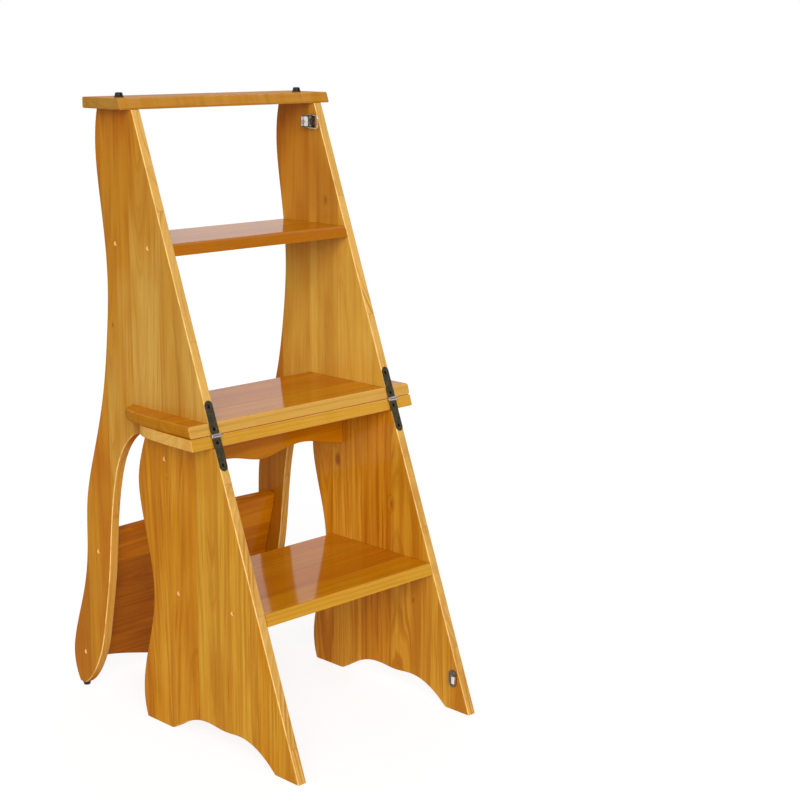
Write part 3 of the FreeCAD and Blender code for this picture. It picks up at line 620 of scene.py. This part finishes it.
def metal(name, colour, worn, roughness, mottle, where=None, other=None):
    """Metal in two colours, mottled at a rate a metre, with fine scratches.

    A mask may say where it has another colour.
    """
    material, tree, shader = new_material(name)
    place = object_place(tree)
    patches = noise(tree, place, mottle, detail=4.0, roughness=0.65)
    drawn = stretched(tree, place, scratch_stretch)
    scratches = noise(tree, drawn, scratch_rate, detail=3.0, roughness=0.6)
    mixed = mix(tree, remap(tree, patches, *mottle_range), colour, worn)
    if where:
        mixed = mix(tree, where(tree, parted(tree, place), patches), mixed, other)
    rough = remap(tree, scratches, *scratch_range, roughness * least_rough, roughness * most_rough)
    feed(tree, shader, Base_Color=mixed, Metallic=1.0, Roughness=rough,
         Normal=bump(tree, scratches, strength=0.08, distance=0.0001))
    return material


def rubber():
    """Nearly black rubber with a fine grit."""
    material, tree, shader = new_material("bumper_rubber")
    grit = noise(tree, object_place(tree), grit_rate, detail=3.0, roughness=0.6)
    colour = mix(tree, remap(tree, grit, *grit_range), rubber_black, rubber_grey)
    feed(tree, shader, Base_Color=colour, Roughness=remap(tree, grit, *grit_range, *grit_rough),
         Specular_IOR_Level=0.25, Normal=bump(tree, grit, strength=0.15, distance=0.0002))
    return material


def dress_wood():
    """Gives each panel and board its own wood."""
    panel = dict(grain=("Z", "Y", "X"), front=cream, end=russet, coat=0.15, worn=0.8)
    board = dict(tones=(0.1, 0.8, 0.3, 0.6, 0.2, 0.5))
    level = dict(board, grain=("X", "Y", "Z"))
    hung = dict(board, grain=("X", "Z", "Y"), front=russet, end=russet)
    # Each rise is painted shading: the upper panels darken towards the top, the lower inner panel pales
    # towards its foot, and the backrest darkens towards its end at negative X.
    looks = {
        "upper_panel_left": dict(
            panel, seam=0.083, tones=(0.0, 0.05, 0.08, 0.32, 0.75, 0.80), seed=3.0, face=outer_panel,
            lines=0.75, rise=(0.55, 0.88, 0.55), knots=[(0.575, 0.128, 0.0016, 0.6)]),
        "upper_panel_right": dict(
            panel, seam=0.083, tones=(0.0, 0.0, 0.0, 0.42, 1.00, 1.00), seed=4.0,
            face=upper_inner_panel, lines=0.60, rise=(0.62, 0.82, 0.50),
            knots=[(0.735, 0.045, 0.0022, 0.5)]),
        "lower_panel_left": dict(
            panel, seam=-0.050, tones=(0.35, 0.1, 0.05, 0.50, 0.35, 0.40), seed=1.0,
            face=lower_outer_panel, lines=1.15, knots=[(0.372, 0.012, 0.0015, 0.5)]),
        "lower_panel_right": dict(
            panel, seam=-0.031, tones=(0.4, 0.5, 1.00, 0.45, 0.80, 0.90), seed=2.0,
            face=lower_inner_panel, lines=1.40, rise=(0.30, 0.08, -0.05),
            # The first knot lies just under the apron's end: a knot, and painted shadow of the apron
            # there as well.
            knots=[(0.338, 0.021, 0.0045, 0.75), (0.290, -0.097, 0.0030, 0.5),
                   (0.150, -0.143, 0.0018, 0.5)]),
        "top_board": dict(
            level, seam=0.02, seed=7.0, face=tawny, front=amber, end=drab, coat=0.20, worn=0.3,
            lines=0.6, meets=-1.0),
        "upper_step": dict(
            level, seam=0.01, seed=6.0, face=brown, front=nosing, end=russet, coat=0.62, lines=0.5,
            meets=1.0),
        "upper_seat_board": dict(
            level, seam=-0.02, seed=8.0, face=tawny, front=straw, end=amber, coat=0.65, worn=0.3,
            lines=0.6, meets=1.0),
        "lower_seat_board": dict(
            level, seam=-0.01, seed=9.0, face=tawny, front=honey, end=pallor, coat=0.50, worn=0.3,
            lines=0.6, meets=-1.0),
        "lower_step": dict(
            level, seam=0.0, seed=5.0, face=tawny, front=honey, end=russet, coat=0.65, lines=0.6,
            meets=1.0),
        "seat_apron": dict(hung, seam=0.39, seed=10.0, face=tawny, coat=0.20, lines=0.7),
        "backrest": dict(
            hung, seam=0.14, tones=(0.9, 0.8, 0.55, 0.35, 0.1, 0.1), seed=11.0, face=mahogany,
            coat=0.15, lines=0.95, rise=(0.02, -0.14, 0.7))}
    for name, look in looks.items():
        dress(wood(name, **look), name)


def dress_fittings():
    """Gives the small CAD nodes their materials, also where a finer piece replaces them."""
    dress(dowel_wood(), "lower_seat_dowels", "upper_seat_dowels", "top_board_dowels")
    dress(zinc, "lower_step_screws", "apron_screws", "upper_step_screws", "backrest_screws")
    dress(bronze, "hinge_lower_leaf_left", "hinge_lower_leaf_right", "hinge_upper_leaf_left",
          "hinge_upper_leaf_right", "hinge_lower_screws", "hinge_upper_screws")
    dress(steel, "hinge_pins")
    dress(nickel, "latch_rivets", "latch_bail")
    dress(lever_nickel, "latch_lever")
    dress(strike_nickel, "latch_strike")
    dress(painted_shade_nickel, "latch_plate", "latch_plate_screws", "latch_strike_screws")
    dress(black, "top_bumpers", "post_bumpers")
    dress(pale, "lower_step_plugs", "apron_plugs", "upper_step_plugs", "backrest_plugs")


# Fittings finer than their CAD solids


def keep(bm, name, material, body):
    """Makes a piece of a bmesh, smooth but for its sharp edges, that rides on a body."""
    bmesh.ops.recalc_face_normals(bm, faces=bm.faces)
    mesh = bpy.data.meshes.new(name)
    bm.to_mesh(mesh)
    bm.free()
    mesh.materials.append(material)
    mesh.shade_smooth()
    mesh.set_sharp_from_angle(angle=sharp_angle)
    piece = bpy.data.objects.new(name, mesh)
    bpy.context.scene.collection.objects.link(piece)
    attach(piece, body)
    return piece


def turn(outline, segments=turned_segments):
    """Closed solid turned about Z from (radius, height) pairs that begin and end on the axis."""
    bm = bmesh.new()
    rings = []
    for radius, height in outline:
        if radius == 0.0:
            rings.append([bm.verts.new((0.0, 0.0, height))] * segments)
        else:
            rings.append([bm.verts.new((radius * math.cos(math.tau * n / segments),
                                        radius * math.sin(math.tau * n / segments), height))
                          for n in range(segments)])
    for inner, outer in zip(rings, rings[1:]):
        for n in range(segments):
            m = (n + 1) % segments
            corners = [inner[n], inner[m], outer[m], outer[n]]
            bm.faces.new([v for k, v in enumerate(corners) if v not in corners[:k]])
    return bm


def blank(bm):
    """An object of a bmesh, to cut or to cut with."""
    mesh = bpy.data.meshes.new("blank")
    bm.to_mesh(mesh)
    bm.free()
    made = bpy.data.objects.new("blank", mesh)
    bpy.context.scene.collection.objects.link(made)
    return made


def cut_cross(bm, reach, width, deep, top):
    """Cuts a tapered cross into the top of a solid, for a screwdriver."""
    cutter = bmesh.new()
    for turned_by in (0.0, math.pi / 2.0):
        made = bmesh.ops.create_cube(cutter, size=1.0)["verts"]
        bmesh.ops.scale(cutter, verts=made, vec=(2.0 * reach, width, 2.0 * deep))
        for v in made:
            if v.co.z < 0.0:
                v.co.x *= cross_taper[0]
                v.co.y *= cross_taper[1]
        bmesh.ops.rotate(cutter, verts=made, matrix=Matrix.Rotation(turned_by, 3, "Z"))
        bmesh.ops.translate(cutter, verts=made, vec=(0.0, 0.0, top))
    head = blank(bm)
    tool = blank(cutter)
    cut = head.modifiers.new("cut", "BOOLEAN")
    cut.operation = "DIFFERENCE"
    cut.solver = "EXACT"
    cut.object = tool
    cut.use_self = True
    done = bmesh.new()
    done.from_object(head, bpy.context.evaluated_depsgraph_get())
    for spent in (head, tool):
        mesh = spent.data
        bpy.data.objects.remove(spent)
        bpy.data.meshes.remove(mesh)
    return done


def copies(source, places):
    """One bmesh of copies of a solid, each with its Z axis turned to a direction and moved to a place."""
    mesh = bpy.data.meshes.new("copy")
    source.to_mesh(mesh)
    source.free()
    bm = bmesh.new()
    for place, direction in places:
        old = set(bm.verts)
        bm.from_mesh(mesh)
        turned = Vector(direction).to_track_quat("Z", "Y").to_matrix().to_4x4()
        bmesh.ops.transform(bm, matrix=Matrix.Translation(place) @ turned,
                            verts=[v for v in bm.verts if v not in old])
    bpy.data.meshes.remove(mesh)
    return bm


def leaf_screws():
    """Countersunk screws with cross recesses in the hinge leaves."""
    outward = Vector((0.0, -math.cos(lean), math.sin(lean)))
    upward = Vector((0.0, math.sin(lean), math.cos(lean)))
    for name, body, up in (("hinge_upper_screws", "upper_half", 1.0),
                           ("hinge_lower_screws", "lower_half", -1.0)):
        head = cut_cross(turn(leaf_screw_outline), reach=0.0017, width=0.0008, deep=0.0012, top=0.0)
        places = []
        for side in sides:
            for along in leaf_screw_places:
                place = upward * (up * along) - outward * leaf_screw_face
                place = Vector((side * panel_middle, place.y + origin_shift, place.z + hinge_height))
                places.append((place, outward))
        piece = keep(copies(head, places), name + "_crossed", screw_bronze, body)
        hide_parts(name)


def latch_screws():
    """Round headed screws with cross recesses in the latch's plate and in the strike."""
    inward = (-1.0, 0.0, 0.0)
    plate = [(Vector((plate_face, depth + origin_shift, latch_height)), inward)
             for depth in latch_screw_depths]
    strike = [(Vector((plate_face, origin_shift - strike_screw_depth,
                       total_height - latch_height + side * strike_screw_spread)), inward)
              for side in sides]
    for name, body, places in (("latch_plate_screws", "upper_half", plate),
                               ("latch_strike_screws", "lower_half", strike)):
        head = cut_cross(turn(latch_screw_outline), reach=0.0012, width=0.0005, deep=0.0006, top=0.0009)
        piece = keep(copies(head, places), name + "_crossed", painted_shade_nickel, body)
        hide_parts(name)


def feet():
    """Rubber feet with a flange, a soft rim and a screw sunk in the middle."""
    for name, body, (x, depth, z), up in (("top_bumpers", "upper_half", top_foot, 1.0),
                                          ("post_bumpers", "upper_half", post_foot, -1.0)):
        foot = turn(foot_outline, foot_segments)
        screw = cut_cross(turn(foot_screw_outline), reach=0.0014, width=0.0006, deep=0.0008, top=0.0040)
        places = [(Vector((side * x, depth + origin_shift, z)), (0.0, 0.0, up)) for side in sides]
        piece = keep(copies(foot, places), name + "_moulded", black, body)
        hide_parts(name)
        keep(copies(screw, places), name + "_screws", zinc, body)


def plugs():
    """Wooden plugs with dished faces, a little below the panels' faces."""
    for name, depths in plug_places.items():
        body = "lower_half" if name in ("lower_step_plugs", "apron_plugs") else "upper_half"
        places = [(Vector((side * panel_face, depth + origin_shift, z)), (side, 0.0, 0.0))
                  for side in sides for depth, z in depths]
        piece = keep(copies(turn(plug_outline), places), name + "_dished", pale, body)
        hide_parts(name)


# Floor, light and camera


def seen_directly(tree):
    """1 for rays from the camera, off gloss or through glass, else 0."""
    path = node(tree, "ShaderNodeLightPath").outputs
    either = calc(tree, "MAXIMUM", path["Is Camera Ray"], path["Is Glossy Ray"])
    return calc(tree, "MAXIMUM", either, path["Is Transmission Ray"])


def choose(tree, share, a, b):
    """One of two shaders, or a mix of them."""
    return node(tree, "ShaderNodeMixShader", {0: share, 1: a.outputs[0], 2: b.outputs[0]}).outputs[0]


def floor():
    """Pale floor that shows the object's shadow, and glows to white where it is seen directly."""
    half = floor_reach
    mesh = bpy.data.meshes.new("floor")
    mesh.from_pydata([(-half, -half, 0.0), (half, -half, 0.0), (half, half, 0.0), (-half, half, 0.0)], [],
                     [(0, 1, 2, 3)])
    plane = bpy.data.objects.new("floor", mesh)
    plane.location.z = floor_height
    bpy.context.scene.collection.objects.link(plane)
    material = bpy.data.materials.new("floor_white")
    material.use_nodes = True
    tree = material.node_tree
    tree.nodes.clear()
    paper, dimmed = [node(tree, "ShaderNodeBsdfDiffuse", {"Color": (grey, grey, grey, 1.0)})
                     for grey in (floor_grey, floor_shade)]
    glow = node(tree, "ShaderNodeEmission", {"Color": white, "Strength": floor_glow})
    shaded = node(tree, "ShaderNodeAddShader", {0: dimmed.outputs[0], 1: glow.outputs[0]})
    chosen = choose(tree, seen_directly(tree), paper, shaded)
    node(tree, "ShaderNodeOutputMaterial", {"Surface": chosen})
    mesh.materials.append(material)


def sky():
    """White where it is seen directly, which gloss sees dimmed in front of the object."""
    world = bpy.data.worlds.new("studio")
    bpy.context.scene.world = world
    world.use_nodes = True
    tree = world.node_tree
    tree.nodes.clear()
    direction = parted(tree, node(tree, "ShaderNodeTexCoord").outputs["Generated"])
    glossy = node(tree, "ShaderNodeLightPath").outputs["Is Glossy Ray"]
    dimming = remap(tree, direction["Y"], dimmed_from, dimmed_to, 0.0, gloss_dimming)
    strength = minus(tree, 1.0, times(tree, glossy, dimming))
    dim = node(tree, "ShaderNodeBackground", {"Color": white, "Strength": sky_strength})
    bright = node(tree, "ShaderNodeBackground", {"Color": white, "Strength": strength})
    chosen = choose(tree, seen_directly(tree), dim, bright)
    node(tree, "ShaderNodeOutputWorld", {"Surface": chosen})


def sun(name, direction, strength, spread, glossy):
    """A wide sun, which gloss may reflect or not."""
    lamp = bpy.data.lights.new(name, "SUN")
    lamp.energy = strength
    lamp.angle = spread
    lit = bpy.data.objects.new(name, lamp)
    lit.rotation_euler = direction.to_track_quat("-Z", "Y").to_euler()
    lit.visible_glossy = glossy
    bpy.context.scene.collection.objects.link(lit)


def camera():
    """The camera at its place, turned by azimuth, elevation and roll."""
    data = bpy.data.cameras.new("camera")
    data.sensor_width = sensor_width
    data.lens = camera_lens
    level = Vector((math.cos(camera_azimuth), math.sin(camera_azimuth), 0.0))
    back = Vector((math.sin(camera_azimuth) * math.cos(camera_elevation),
                   -math.cos(camera_azimuth) * math.cos(camera_elevation), math.sin(camera_elevation)))
    up = back.cross(level)
    right = math.cos(camera_roll) * level + math.sin(camera_roll) * up
    top = math.cos(camera_roll) * up - math.sin(camera_roll) * level
    eye = bpy.data.objects.new("camera", data)
    eye.matrix_world = Matrix.Translation(camera_place) @ Matrix((right, top, back)).transposed().to_4x4()
    bpy.context.scene.collection.objects.link(eye)
    bpy.context.scene.camera = eye


zinc = metal("screw_zinc", (0.55, 0.55, 0.53), (0.42, 0.42, 0.41), roughness=0.4, mottle=300.0)
bronze = metal("hinge_bronze", (0.15, 0.137, 0.085), (0.25, 0.20, 0.12), roughness=0.33, mottle=150.0,
               where=at_knuckles, other=(0.62, 0.55, 0.58))
# The leaf screws are nearly black, painted shade for the dark holes that they sit in.
screw_bronze = metal("screw_bronze", (0.030, 0.026, 0.018), (0.08, 0.065, 0.042), roughness=0.30,
                     mottle=400.0)
steel = metal("pin_steel", (0.50, 0.47, 0.50), (0.36, 0.33, 0.34), roughness=0.28, mottle=260.0)
nickel = metal("latch_nickel", (0.66, 0.64, 0.60), (0.40, 0.37, 0.34), roughness=0.18, mottle=160.0)
# The lever's flanges are painted dark as shade.
lever_nickel = metal("lever_nickel", (0.74, 0.71, 0.66), (0.34, 0.31, 0.28), roughness=0.18,
                     mottle=160.0, where=at_flanges, other=(0.10, 0.085, 0.07))
# The strike's plate, the latch's plate and the screws of both are nickel painted dark as shade; the
# strike's hook keeps a bright nickel.
strike_nickel = metal("strike_nickel", dark_nickel, (0.20, 0.17, 0.14), roughness=0.30, mottle=260.0,
                      where=off_plate, other=(0.80, 0.77, 0.72))
painted_shade_nickel = metal("latch_dark", dark_nickel, (0.22, 0.19, 0.16), roughness=0.35, mottle=260.0)
black = rubber()
pale = plug_wood()

camera()
dress_wood()
dress_fittings()
leaf_screws()
latch_screws()
feet()
plugs()
floor()
sky()
sun("key", key_direction, key_strength, key_spread, True)
sun("fill", fill_direction, fill_strength, fill_spread, False)
bpy.context.scene.view_settings.view_transform = "Standard"
